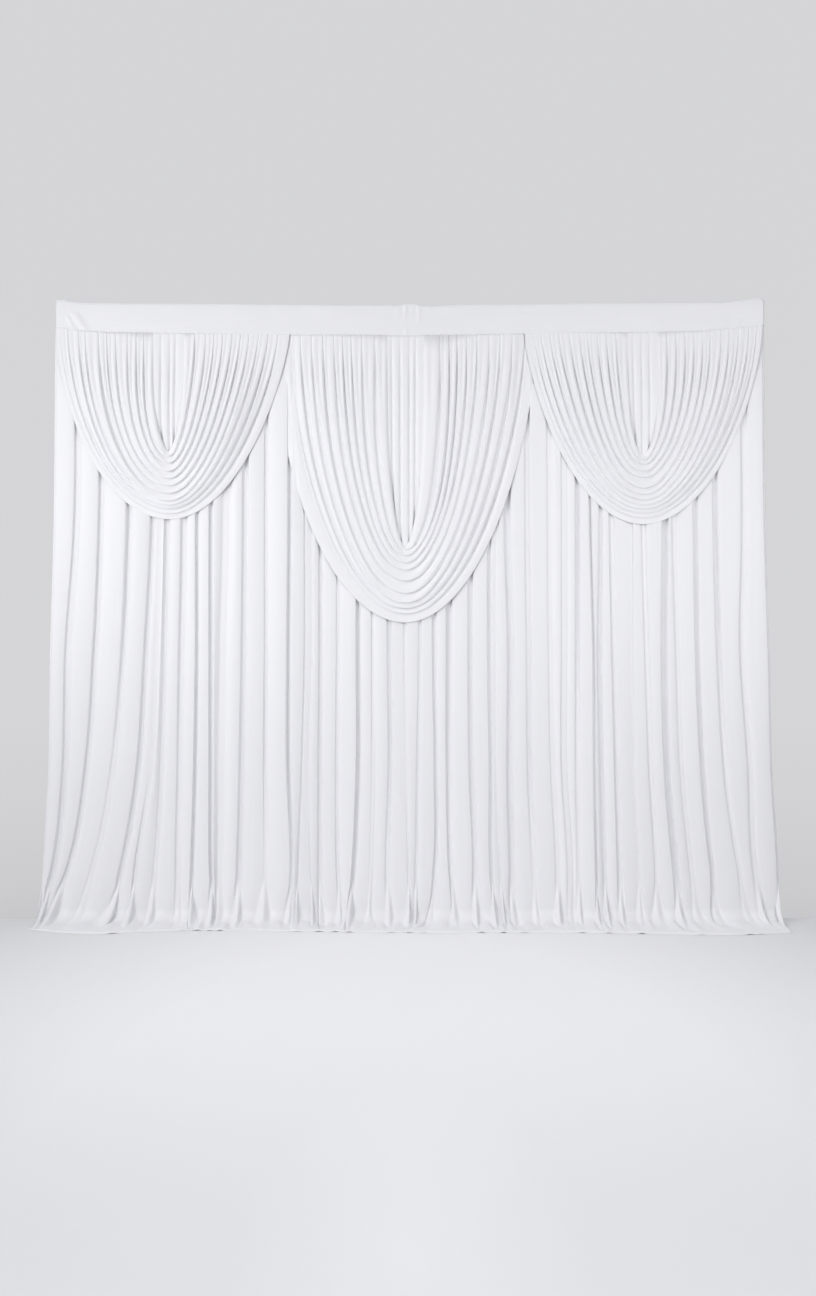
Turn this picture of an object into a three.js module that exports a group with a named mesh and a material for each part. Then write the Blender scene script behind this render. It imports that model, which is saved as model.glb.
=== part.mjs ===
// Swagged drapery backdrop: a heading band, a gathered floor-length curtain and three pleated swags.
// Millimetres, +X to the right, -Y to the front, +Z up. The origin is the middle of the band's top edge.
import * as THREE from 'three';

const { clamp, degToRad, lerp, mapLinear, smoothstep } = THREE.MathUtils;

// Cloth
const CLOTH_THICKNESS = 2;
const SEAM_GAP = 1;
const CLOTH_WHITE = 0xe4e4e8;
const CLOTH_ROUGHNESS = 0.6;

// Floor and the drop from the band's seam
const FLOOR_HEIGHT = -2620;
const GATHER_DROP = 320;
const GATHER_SHARE = 0.1;

// Heading band: a sleeve that turns over a round bar 38 mm thick and closes in a seam below
const BAND_BAR_RADIUS = 19;
const BAND_FRONT_FOOT = -16;
const BAND_BACK_FOOT = 8;
const BAND_SEAM_DEPTH = 5;
const BAND_BACK_OVERHANG = 9;
const BAND_ARC_STEPS = 6;
const BAND_WALL_STEPS = 3;

// The band's top and seam height along its length: both rise at the ends
const BAND_STATIONS = table(['across', 'top', 'seam'], [
  [-1500, 15, -103],
  [-1466, 18, -107],
  [-1446, 12, -113],
  [-1400, 6, -119],
  [-1285, 3, -126],
  [-890, 0, -133],
  [-552, -3, -136],
  [-100, -5, -139],
  [-30, -4, -140],
  [-18, 0, -140],
  [0, 0, -140],
  [30, -1, -140],
  [45, -5, -139],
  [200, -4, -138],
  [510, -1, -131],
  [890, 3, -128],
  [1232, 6, -122],
  [1340, 7, -113],
  [1384, 12, -108],
  [1440, 19, -102],
  [1466, 24, -99],
  [1490, 23, -97],
  [1500, 12, -96],
]);

// Curtain: it falls straight, leans forward in a wide arc, bends close to the floor and runs on over it
const CURTAIN_TOP_BACK = 4;
const CURTAIN_FULL_BACK = 26;
const CURTAIN_RELIEF = 40;
const CURTAIN_LEAN_RADIUS = 1200;
const CURTAIN_LEAN = degToRad(18);
const CURTAIN_BEND_RADIUS = 90;
const CURTAIN_HEM_SHARE = 0.06;
const CURTAIN_TOP_NARROWING = 0.994;
const CURTAIN_CROWN = 0.04;
const CURTAIN_TROUGH_SHARE = 0.36;
const CURTAIN_TONGUE_SHARE = 0.46;
const CURTAIN_FALL_ROWS = [0, 130, 340, 1300, 2050];
const CURTAIN_LEAN_STEPS = 2;
const CURTAIN_BEND_STEPS = 4;

// How far the hem runs over the floor past the bend, along the curtain
const HEM_RUNS = table(['across', 'run'], [
  [-1560, 62],
  [-1400, 120],
  [-1260, 135],
  [-1130, 108],
  [0, 115],
  [900, 125],
  [1370, 150],
  [1550, 115],
]);

// One row for each crease from left to right: its place across at four heights, how deep it sinks
// behind the ridges, and the half width of its trough
const CURTAIN_CREASES = table(['upper', 'middle', 'lower', 'hem', 'depth', 'trough'], [
  [-1512, -1530, -1545, -1562, 14, 14],
  [-1402, -1436, -1464, -1552, 14, 16],
  [-1309, -1362, -1424, -1538, 26, 22],
  [-1186, -1241, -1305, -1508, 28, 20],
  [-1094, -1135, -1198, -1365, 34, 22],
  [-1028, -1043, -1069, -1116, 26, 14],
  [-950, -973, -977, -925, 20, 14],
  [-899, -907, -922, -898, 34, 14],
  [-850, -846, -841, -800, 32, 18],
  [-782, -780, -778, -742, 10, 18],
  [-699, -708, -720, -734, 36, 22],
  [-612, -612, -610, -545, 26, 16],
  [-510, -510, -499, -445, 26, 16],
  [-442, -450, -463, -442, 20, 8],
  [-370, -378, -380, -368, 36, 20],
  [-302, -306, -312, -325, 34, 18],
  [-221, -229, -244, -250, 26, 14],
  [-153, -159, -166, -175, 10, 16],
  [-89, -81, -81, -130, 34, 20],
  [-28, -21, -13, -5, 20, 9],
  [49, 40, 30, 25, 34, 15],
  [98, 104, 100, 75, 34, 16],
  [170, 170, 176, 195, 24, 14],
  [259, 261, 280, 318, 34, 20],
  [336, 340, 344, 350, 24, 14],
  [416, 429, 433, 420, 40, 26],
  [499, 512, 516, 540, 24, 14],
  [588, 608, 625, 652, 26, 16],
  [714, 716, 720, 705, 18, 16],
  [811, 805, 818, 775, 40, 24],
  [856, 873, 880, 850, 24, 12],
  [945, 947, 964, 955, 18, 9],
  [986, 1009, 1028, 1050, 26, 14],
  [1081, 1085, 1111, 1166, 40, 26],
  [1213, 1232, 1272, 1390, 26, 18],
  [1296, 1325, 1368, 1506, 34, 20],
  [1402, 1416, 1444, 1530, 26, 18],
  [1508, 1536, 1550, 1548, 14, 14],
]);
const CURTAIN_CREASE_DROPS = [0, 785, 1618, 2153];

// Swags: each hangs from the seam in nested folds round a throat, and bellies forward towards its edge
const SWAG_WIDTH_POWER = 1.7;
const SWAG_INNER_POWER = 2.9;
const SWAG_RELIEF = 9;
const SWAG_PITCH_SHARE = 0.28;
const SWAG_DROOP_ANGLE = 0.6;
const SWAG_THROAT_RECESS = 10;
const SWAG_BELLY = 22;
const SWAG_BELLY_POWER = 3;
const SWAG_ROUND_STEPS = 18;

// Columns of a swag's rows, from the throat to the lowest edge: how far each crease stands at the seam
// to the left and to the right of the throat, and how far below the seam it hangs in the middle
const SWAG_COLUMNS = ['left', 'right', 'drop'];

const SWAGS = [
  {
    name: 'swag_left',
    throat: -1020,
    seamDepth: -14,
    reach: 46,
    leftPower: 2.25,
    rightPower: 1.55,
    creases: table(SWAG_COLUMNS, [
      [3, 3, 478],
      [36, 30, 488],
      [68, 64, 498],
      [104, 118, 508],
      [138, 154, 518],
      [172, 190, 529],
      [221, 224, 541],
      [259, 261, 557],
      [296, 298, 604],
      [342, 336, 634],
      [380, 372, 682],
      [426, 412, 721],
      [463, 470, 762],
      [480, 508, 789],
    ]),
  },
  {
    name: 'swag_centre',
    throat: -21,
    seamDepth: -6,
    reach: 34,
    leftPower: 1.95,
    rightPower: 1.97,
    creases: table(SWAG_COLUMNS, [
      [3, 3, 880],
      [42, 30, 892],
      [78, 82, 905],
      [128, 118, 920],
      [182, 166, 944],
      [226, 210, 990],
      [268, 258, 1026],
      [300, 304, 1046],
      [346, 354, 1088],
      [392, 402, 1112],
      [438, 454, 1146],
      [486, 502, 1171],
      [528, 534, 1195],
      [565, 561, 1218],
    ]),
  },
  {
    name: 'swag_right',
    throat: 984,
    seamDepth: -14,
    reach: 46,
    leftPower: 1.68,
    rightPower: 1.97,
    creases: table(SWAG_COLUMNS, [
      [3, 3, 490],
      [36, 32, 502],
      [60, 66, 514],
      [106, 116, 526],
      [142, 148, 544],
      [187, 180, 568],
      [219, 224, 586],
      [257, 258, 620],
      [297, 290, 662],
      [333, 330, 692],
      [365, 366, 718],
      [404, 424, 758],
      [436, 458, 778],
      [461, 495, 804],
      [498, 510, 816],
    ]),
  },
];

// Rows of bare values with their columns' names
function table(columns, rows) {
  return rows.map((row) => Object.fromEntries(columns.map((name, index) => [name, row[index]])));
}

// A smooth curve through values at rising stations
function smoothThrough(stations, values, at) {
  const last = stations.length - 1;
  const clamped = clamp(at, stations[0], stations[last]);
  let index = 0;
  while (index < last - 1 && clamped > stations[index + 1]) index += 1;
  const slope = (i) => {
    const low = Math.max(i - 1, 0);
    const high = Math.min(i + 1, last);
    return (values[high] - values[low]) / (stations[high] - stations[low]);
  };
  const span = stations[index + 1] - stations[index];
  const t = (clamped - stations[index]) / span;
  const rise = values[index + 1] - values[index];
  const start = slope(index) * span;
  const end = slope(index + 1) * span;
  const bend = t * t * (3 - 2 * t);
  return values[index] + rise * bend + start * t * (1 - t) * (1 - t) - end * t * t * (1 - t);
}

// The height of the band's seam, from which the curtain and the swags hang
function seamHeight(across) {
  const found = BAND_STATIONS.findIndex((station) => station.across >= across);
  if (found === 0) return BAND_STATIONS[0].seam;
  if (found < 0) return BAND_STATIONS.at(-1).seam;
  const before = BAND_STATIONS[found - 1];
  const after = BAND_STATIONS[found];
  return mapLinear(across, before.across, after.across, before.seam, after.seam);
}

// How far gathered folds have opened at a drop below the seam, from a small share to 1
function gatherOpening(drop) {
  return GATHER_SHARE + (1 - GATHER_SHARE) * smoothstep(drop, 0, GATHER_DROP);
}

// A closed mesh from a list of points and quads
function closedGeometry(points, quads) {
  const geometry = new THREE.BufferGeometry();
  geometry.setAttribute('position', new THREE.Float32BufferAttribute(points.flatMap((p) => p.toArray()), 3));
  geometry.setIndex(quads.flatMap(([a, b, c, d]) => [a, b, c, a, c, d]));
  geometry.computeVertexNormals();
  return geometry;
}

// The way a grid's surface faces at each point, from its neighbours along both directions
function gridNormal(grid, row, column) {
  const rows = grid.length;
  const columns = grid[0].length;
  const above = grid[Math.max(row - 1, 0)][column];
  const below = grid[Math.min(row + 1, rows - 1)][column];
  const left = grid[row][Math.max(column - 1, 0)];
  const right = grid[row][Math.min(column + 1, columns - 1)];
  const across = new THREE.Vector3().subVectors(right, left);
  const down = new THREE.Vector3().subVectors(below, above);
  return down.cross(across).normalize();
}

// A sheet of cloth as a closed solid: its front points, a back layer behind them and a rim round the edge.
// Rows run down and columns run to the right, seen from the front.
function sheetGeometry(grid) {
  const rows = grid.length;
  const columns = grid[0].length;
  const points = grid.flat();
  grid.forEach((line, row) => line.forEach((point, column) => {
    points.push(point.clone().addScaledVector(gridNormal(grid, row, column), -CLOTH_THICKNESS));
  }));
  const back = rows * columns;
  const quads = [];
  for (let row = 0; row < rows - 1; row += 1) {
    for (let column = 0; column < columns - 1; column += 1) {
      const corner = row * columns + column;
      const below = corner + columns;
      quads.push([corner, below, below + 1, corner + 1]);
      quads.push([back + corner, back + corner + 1, back + below + 1, back + below]);
    }
  }
  const rim = [];
  for (let column = 0; column < columns - 1; column += 1) rim.push(column);
  for (let row = 0; row < rows - 1; row += 1) rim.push(row * columns + columns - 1);
  for (let column = columns - 1; column > 0; column -= 1) rim.push((rows - 1) * columns + column);
  for (let row = rows - 1; row > 0; row -= 1) rim.push(row * columns);
  rim.forEach((point, index) => {
    const next = rim[(index + 1) % rim.length];
    quads.push([point, next, back + next, back + point]);
  });
  return closedGeometry(points, quads);
}

// The band's section at one station, from the front foot over the bar to the back foot, inset by a wall
function bandSection(station, inset) {
  const radius = BAND_BAR_RADIUS - inset;
  const centre = station.top - BAND_BAR_RADIUS;
  const foot = station.seam + (inset > 0 ? BAND_SEAM_DEPTH : 0);
  const frontFoot = BAND_FRONT_FOOT + inset;
  const backFoot = BAND_BACK_FOOT - inset;
  const section = [];
  for (let step = 0; step < BAND_WALL_STEPS; step += 1) {
    const share = step / BAND_WALL_STEPS;
    section.push([lerp(frontFoot, -radius, share), lerp(foot, centre, share)]);
  }
  for (let step = 0; step <= BAND_ARC_STEPS; step += 1) {
    const turn = Math.PI * (1 - step / BAND_ARC_STEPS);
    section.push([radius * Math.cos(turn), centre + radius * Math.sin(turn)]);
  }
  for (let step = 1; step <= BAND_WALL_STEPS; step += 1) {
    const share = step / BAND_WALL_STEPS;
    section.push([lerp(radius, backFoot, share), lerp(centre, foot, share)]);
  }
  const end = Math.abs(station.across) === BAND_STATIONS.at(-1).across ? Math.sign(station.across) : 0;
  return section.map(([depth, height]) => {
    const backness = (depth + BAND_BAR_RADIUS) / (2 * BAND_BAR_RADIUS);
    return new THREE.Vector3(station.across + end * BAND_BACK_OVERHANG * backness, depth, height);
  });
}

// The band: an outer and an inner wall round the rod pocket, joined in a ring at each open end
function bandGeometry() {
  const outer = BAND_STATIONS.map((station) => bandSection(station, 0));
  const inner = BAND_STATIONS.map((station) => bandSection(station, CLOTH_THICKNESS));
  const around = outer[0].length;
  const stations = outer.length;
  const points = [...outer.flat(), ...inner.flat()];
  const inside = stations * around;
  const quads = [];
  for (let side = 0; side < around; side += 1) {
    const next = (side + 1) % around;
    for (let station = 0; station < stations - 1; station += 1) {
      const here = station * around;
      const there = here + around;
      quads.push([here + side, there + side, there + next, here + next]);
      quads.push([inside + here + side, inside + here + next, inside + there + next, inside + there + side]);
    }
    const last = (stations - 1) * around;
    quads.push([side, next, inside + next, inside + side]);
    quads.push([last + side, inside + last + side, inside + last + next, last + next]);
  }
  return closedGeometry(points, quads);
}

// How far the hem runs over the floor at a place across the curtain
function hemRun(across) {
  return smoothThrough(HEM_RUNS.map((row) => row.across), HEM_RUNS.map((row) => row.run), across);
}

// Where the back of the curtain's folds runs at a row: the straight fall, the lean, the bend, the floor.
// Returns the length fallen, the point's depth and height, the turn of the surface, the share of the folds'
// full height and how far the folds have drawn together to tongues.
function curtainPath(row, across) {
  const seam = seamHeight(across) - SEAM_GAP;
  const bendTop = FLOOR_HEIGHT + CLOTH_THICKNESS + CURTAIN_BEND_RADIUS * (1 - Math.sin(CURTAIN_LEAN));
  const leanTop = bendTop + CURTAIN_LEAN_RADIUS * Math.sin(CURTAIN_LEAN);
  const straight = seam - leanTop;
  if (row < CURTAIN_FALL_ROWS.length) {
    const drop = straight * CURTAIN_FALL_ROWS[row] / CURTAIN_FALL_ROWS.at(-1);
    const opening = gatherOpening(drop);
    const back = mapLinear(opening, GATHER_SHARE, 1, CURTAIN_TOP_BACK, CURTAIN_FULL_BACK);
    return { drop, depth: back, height: seam - drop, turn: 0, opening, drawn: 0 };
  }
  const leanStep = row - CURTAIN_FALL_ROWS.length + 1;
  const leanTurn = CURTAIN_LEAN * Math.min(leanStep / CURTAIN_LEAN_STEPS, 1);
  const bendStep = Math.max(leanStep - CURTAIN_LEAN_STEPS, 0);
  const bendShare = Math.min(bendStep / CURTAIN_BEND_STEPS, 1);
  const turn = leanStep < CURTAIN_LEAN_STEPS ? leanTurn : lerp(CURTAIN_LEAN, Math.PI / 2, bendShare);
  const run = bendStep > CURTAIN_BEND_STEPS ? hemRun(across) : 0;
  const bendDepth = CURTAIN_BEND_RADIUS * (Math.cos(leanTurn) - Math.cos(turn));
  const bendFall = CURTAIN_BEND_RADIUS * (Math.sin(turn) - Math.sin(leanTurn));
  const drawn = smoothstep(bendShare, 0, 1);
  return {
    drop: straight + CURTAIN_LEAN_RADIUS * leanTurn + CURTAIN_BEND_RADIUS * (turn - leanTurn) + run,
    depth: CURTAIN_FULL_BACK - CURTAIN_LEAN_RADIUS * (1 - Math.cos(leanTurn)) - bendDepth - run,
    height: leanTop - CURTAIN_LEAN_RADIUS * Math.sin(leanTurn) - bendFall,
    turn,
    opening: lerp(1, CURTAIN_HEM_SHARE, drawn),
    drawn,
  };
}

// Where a crease stands across the curtain at a row
function creaseAcross(crease, drop, hemDrop) {
  const top = crease.upper * CURTAIN_TOP_NARROWING;
  const values = [top, crease.upper, crease.middle, crease.lower, crease.hem];
  return smoothThrough([...CURTAIN_CREASE_DROPS, hemDrop], values, drop);
}

// The curtain: for each fold a crease, a shoulder, the ridge and the other shoulder
function curtainGeometry() {
  const rows = CURTAIN_FALL_ROWS.length + CURTAIN_LEAN_STEPS + CURTAIN_BEND_STEPS + 1;
  const grid = [];
  for (let row = 0; row < rows; row += 1) {
    const line = [];
    CURTAIN_CREASES.forEach((crease, index) => {
      const next = CURTAIN_CREASES[index + 1];
      const path = curtainPath(row, crease.lower);
      const hemDrop = curtainPath(rows - 1, crease.lower).drop;
      const here = creaseAcross(crease, path.drop, hemDrop);
      const place = (across, sink, crown) => {
        const local = curtainPath(row, across);
        const lift = local.opening * (CURTAIN_RELIEF - sink + crown);
        const depth = local.depth - lift * Math.cos(local.turn);
        line.push(new THREE.Vector3(across, depth, local.height + lift * Math.sin(local.turn)));
      };
      place(here, crease.depth, 0);
      if (!next) return;
      const there = creaseAcross(next, path.drop, hemDrop);
      const spacing = there - here;
      const widest = spacing * CURTAIN_TROUGH_SHARE;
      const tongue = spacing * CURTAIN_TONGUE_SHARE;
      const shoulder = (trough) => lerp(Math.min(trough, widest), tongue, path.drawn);
      place(here + shoulder(crease.trough), 0, 0);
      place((here + there) / 2, 0, CURTAIN_CROWN * spacing);
      place(there - shoulder(next.trough), 0, 0);
    });
    grid.push(line);
  }
  return sheetGeometry(grid);
}

// A point on one of a swag's nested curves: turn runs from the left end down and up to the right end
function swagCurvePoint(swag, crease, share, turn) {
  const onLeft = turn <= Math.PI / 2;
  const width = onLeft ? -crease.left : crease.right;
  const outerPower = onLeft ? swag.leftPower : swag.rightPower;
  const power = lerp(SWAG_INNER_POWER, outerPower, share);
  const sideways = Math.abs(Math.cos(turn)) ** (2 / SWAG_WIDTH_POWER);
  const hanging = Math.sin(turn) ** (2 / power);
  const across = swag.throat + width * sideways;
  const top = seamHeight(swag.throat + width) - SEAM_GAP;
  const bottom = seamHeight(swag.throat) - crease.drop;
  return { across, hanging, height: lerp(top, bottom, hanging), drop: hanging * (top - bottom) };
}

// A swag: creases from its table with a ridge between each two
function swagGeometry(swag) {
  const last = swag.creases.length - 1;
  const grid = [];
  for (let step = 0; step <= SWAG_ROUND_STEPS; step += 1) {
    const turn = Math.PI * step / SWAG_ROUND_STEPS;
    const curves = swag.creases.map((crease, index) => swagCurvePoint(swag, crease, index / last, turn));
    const line = [];
    const place = (point, share, lift) => {
      const low = Math.sin(turn) ** 2;
      const opening = gatherOpening(point.drop);
      const belly = SWAG_BELLY * point.hanging ** SWAG_BELLY_POWER * share;
      const base = swag.seamDepth - swag.reach * opening - belly;
      const recess = SWAG_THROAT_RECESS * (1 - share) * low;
      const droop = SWAG_DROOP_ANGLE * low;
      const depth = base + recess - lift * opening * Math.cos(droop);
      line.push(new THREE.Vector3(point.across, depth, point.height - lift * opening * Math.sin(droop)));
    };
    curves.forEach((point, index) => {
      const share = index / last;
      const next = curves[index + 1];
      const before = curves[Math.max(index - 1, 0)];
      const near = next ?? before;
      const pitch = Math.hypot(near.across - point.across, near.height - point.height);
      const relief = Math.min(SWAG_RELIEF, pitch * SWAG_PITCH_SHARE);
      place(point, share, -relief);
      if (!next) return;
      const ridge = {
        across: (point.across + next.across) / 2,
        height: (point.height + next.height) / 2,
        drop: (point.drop + next.drop) / 2,
        hanging: (point.hanging + next.hanging) / 2,
      };
      place(ridge, share + 0.5 / last, relief);
    });
    grid.push(line.reverse());
  }
  return sheetGeometry(grid);
}

function clothMesh(name, geometry) {
  const finish = { color: CLOTH_WHITE, roughness: CLOTH_ROUGHNESS, metalness: 0 };
  const material = new THREE.MeshStandardMaterial(finish);
  const mesh = new THREE.Mesh(geometry, material);
  mesh.name = name;
  return mesh;
}

const group = new THREE.Group();
group.add(clothMesh('heading_band', bandGeometry()));
group.add(clothMesh('back_curtain', curtainGeometry()));
SWAGS.forEach((swag) => group.add(clothMesh(swag.name, swagGeometry(swag))));

export default group;
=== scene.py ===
"""Swagged drapery backdrop in white knit: heading band, gathered floor-length curtain and three swags.

Tables are in millimetres in the part's own frame: +X to the right, -Y to the front, +Z up, with the origin in
the middle of the band's top edge. Meshes are made in metres.
"""

import math

import bmesh
import bpy
import numpy as np
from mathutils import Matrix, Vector


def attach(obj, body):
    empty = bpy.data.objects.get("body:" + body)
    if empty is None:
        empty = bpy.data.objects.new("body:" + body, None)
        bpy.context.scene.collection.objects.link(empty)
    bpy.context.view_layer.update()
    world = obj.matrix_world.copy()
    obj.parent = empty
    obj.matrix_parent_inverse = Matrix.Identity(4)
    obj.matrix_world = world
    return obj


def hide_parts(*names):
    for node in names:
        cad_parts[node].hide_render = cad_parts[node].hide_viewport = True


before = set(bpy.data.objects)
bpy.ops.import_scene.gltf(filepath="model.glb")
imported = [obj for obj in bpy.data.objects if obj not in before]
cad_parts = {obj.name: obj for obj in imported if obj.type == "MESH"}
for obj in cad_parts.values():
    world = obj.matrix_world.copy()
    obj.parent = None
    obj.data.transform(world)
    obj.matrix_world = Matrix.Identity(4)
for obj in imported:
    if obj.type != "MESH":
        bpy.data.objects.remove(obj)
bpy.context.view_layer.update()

METRE = 0.001
BODY = "root"

# Cloth and floor
CLOTH_THICKNESS = 2.0
SHELL_THICKNESS = 1.2
SEAM_GAP = 1.0
FLOOR_HEIGHT = -2620.0

# Gathered folds lie nearly flat at the seam and open over a drop below it
GATHER_DROP = 320.0
GATHER_SHARE = 0.1

# Soft random waves: cells of their lattice each way, and an offset that keeps every place on it positive
WAVE_CELLS = 64
WAVE_OFFSET = 1000.5

# Heading band: a sleeve over a round bar, with a rolled seam at its foot
BAND_BAR_RADIUS = 19.0
BAND_FRONT_FOOT = -16.0
BAND_BACK_FOOT = 8.0
BAND_BACK_OVERHANG = 9.0
BAND_OVERHANG_RUN = 30.0
BAND_WALL_STEPS = 22
BAND_WALL_SPACING = 1.5
BAND_ARC_STEPS = 16
BAND_FOOT_STEPS = 5
BAND_STEP = 8.0
BAND_ROLL = 1.0
BAND_ROLL_RADIUS = 5.0
BAND_PUCKER_RISE = 26.0
BAND_WAVE_FROM = 6.0
BAND_WAVE_FULL = 40.0

# Soft unevenness of the band: wave length across, wave length down, height, seed
BAND_PUCKERS = (16.0, 400.0, 0.8, 31)
BAND_WAVES = (130.0, 90.0, 2.4, 33)

# The band's top and seam height along its length: across, top, seam
BAND_STATIONS = np.array([
    (-1500, 15, -103),
    (-1466, 18, -107),
    (-1446, 12, -113),
    (-1400, 6, -119),
    (-1285, 3, -126),
    (-890, 0, -133),
    (-552, -3, -136),
    (-100, -5, -139),
    (-30, -4, -140),
    (-18, 0, -140),
    (0, 0, -140),
    (30, -1, -140),
    (45, -5, -139),
    (200, -4, -138),
    (510, -1, -131),
    (890, 3, -128),
    (1232, 6, -122),
    (1340, 7, -113),
    (1384, 12, -108),
    (1440, 19, -102),
    (1466, 24, -99),
    (1490, 23, -97),
    (1500, 12, -96),
], float)
BAND_ACROSS, BAND_TOPS, BAND_SEAMS = BAND_STATIONS.T

# Wrinkles on the band's front: from across and height to across and height, how proud they stand, half width
BAND_WRINKLES = (
    (-1447, -65, -1429, -108, 4.5, 7),
    (-1429, -47, -1386, -108, 4.5, 8),
    (-1412, -45, -1371, -116, 3.3, 7),
    (1401, -65, 1354, -104, -4.5, 6),
    (1398, -76, 1352, -114, 3.6, 8),
    (-18, 0, -20, -62, 3.9, 6),
    (12, 0, 12, -48, 3.0, 6),
    (36, -2, 38, -74, 4.2, 6),
    (-50, -10, -52, -60, 2.7, 9),
    (-17, -112, -17, -136, 3.6, 5),
)
WRINKLE_RUN_OUT = 0.25

# Curtain: it falls straight from the seam, leans a little forward, and bends on to the floor at its foot
CURTAIN_TOP_BACK = 4.0
CURTAIN_FULL_BACK = 33.0
CURTAIN_RELIEF = 40.0
CURTAIN_TOP_NARROWING = 0.994
CURTAIN_LEAN = math.radians(7.0)
CURTAIN_LEAN_RADIUS = 3500.0
CURTAIN_FLOOR_RUN = 145.0
SEAM_LEVEL = -140.0
FOOT_RISE = 170.0
FOOT_LENGTH = 190.0
FOOT_OPENING_RADIUS = 120.0
FOOT_RIDGE_BEND = 60.0
FOOT_CREASE_BEND = 110.0
FOOT_PUFF = 6.0

# The height where the curtain starts to lean, and the lengths of cloth from the seam to there, to its foot,
# to the floor and to the hem
LEAN_TOP = FLOOR_HEIGHT + CLOTH_THICKNESS + FOOT_RISE + CURTAIN_LEAN_RADIUS * math.sin(CURTAIN_LEAN)
CURTAIN_FALL = SEAM_LEVEL - LEAN_TOP
FOOT_START = CURTAIN_FALL + CURTAIN_LEAN_RADIUS * CURTAIN_LEAN
FLOOR_START = FOOT_START + FOOT_LENGTH
CURTAIN_HEM_FALL = FLOOR_START + CURTAIN_FLOOR_RUN

# Folds between the creases: nearly flat panels, each a little crowned, tilted and set in or out
PANEL_CROWN = 0.03
PANEL_TILT = 3.0
PANEL_SET_OUT = 2.5
PANEL_STEPS = (0.06, 0.15, 0.26, 0.38, 0.5, 0.62, 0.74, 0.85, 0.94)

# Creases: troughs with a flat floor, which slope forward on the foot, the deep ones most and no two alike
TROUGH_FLOOR = 0.55
TROUGH_STEPS = (0.3, 0.58, 0.7, 0.8, 0.9, 1.0)
CREASE_DEPTH_SHARE = 0.95
CREASE_WIDTH_SHARE = 1.2
CREASE_WIDEST_SHARE = 0.46
CREASE_SLOPE = math.radians(20.0)
CREASE_SLOPE_VARIES = 0.75
CREASE_FULL_DEPTH = 9.0
CREASE_SEED = 21

# They open into tongues towards the floor, each from its own height and to its own width
TONGUE_LATEST = 0.5
TONGUE_START_VARIES = 0.45
TONGUE_SHARE = 0.46
TONGUE_NARROWEST = 0.4
TONGUE_SEED = 23

# Lengths along the cloth at which a crease's places and depths are given, from the seam to the hem
CREASE_FALLS = (0.0, 883.0, 1332.0, 1841.0, 2244.0, 2487.0, CURTAIN_HEM_FALL)
DEPTH_FALLS = (0.0, 1332.0, 1841.0, 2244.0, CURTAIN_HEM_FALL)

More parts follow.
